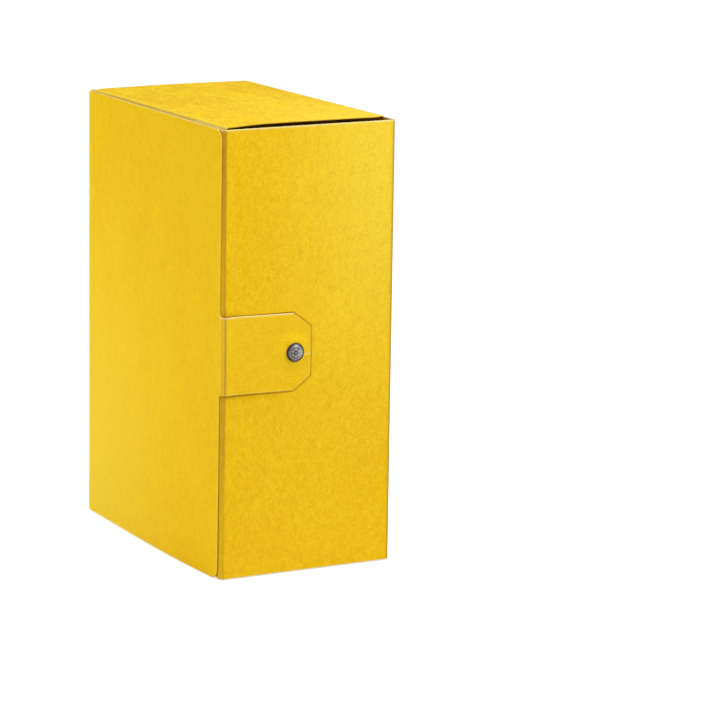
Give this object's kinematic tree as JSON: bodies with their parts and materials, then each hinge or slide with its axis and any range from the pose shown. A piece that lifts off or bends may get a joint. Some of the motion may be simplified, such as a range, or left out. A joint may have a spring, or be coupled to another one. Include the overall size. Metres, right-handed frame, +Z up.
{
  "type": "box file",
  "caption": "Upright card box file with a hinged lid, a closing tongue with a press stud, and inner flaps held by press studs.",
  "frame": {"origin": "middle of the footprint, on the surface that the box stands on", "axes": "+Z up along the height, +X from the lid to the base panel, +Y from the tongue to the spine"},
  "size_m": [0.15, 0.2566, 0.35],
  "materials": {
    "yellow_card": "pressed card, matt with a fine leathery grain",
    "stud_metal": "dark nickel plate, worn bright at the rim",
    "spring_wire": "bright spring wire"
  },
  "bodies": {
    "tray": {"card_tray": "yellow_card", "tongue_snap_stud": "stud_metal", "tongue_snap_eyelet": "stud_metal", "upper_flap_snap_cap": "stud_metal", "upper_flap_snap_socket": "stud_metal", "upper_flap_snap_spring": "spring_wire", "upper_flap_snap_stud": "stud_metal", "upper_flap_snap_eyelet": "stud_metal", "lower_flap_snap_cap": "stud_metal", "lower_flap_snap_socket": "stud_metal", "lower_flap_snap_spring": "spring_wire", "lower_flap_snap_stud": "stud_metal", "lower_flap_snap_eyelet": "stud_metal"},
    "lid": {"card_lid": "yellow_card"},
    "tongue": {"card_tongue": "yellow_card", "tongue_snap_cap": "stud_metal", "tongue_snap_socket": "stud_metal", "tongue_snap_spring": "spring_wire"}
  },
  "joints": [
    {"name": "lid_hinge", "type": "hinge", "parent": "tray", "child": "lid", "pos_m": [-0.06707, 0.12825, 0.175], "axis": [0, 0, -1], "range_deg": [0, 180]},
    {"name": "tongue_hinge", "type": "hinge", "parent": "lid", "child": "tongue", "pos_m": [-0.07503, -0.12375, 0.175], "axis": [0, 0, -1], "range_deg": [0, 90]}
  ]
}
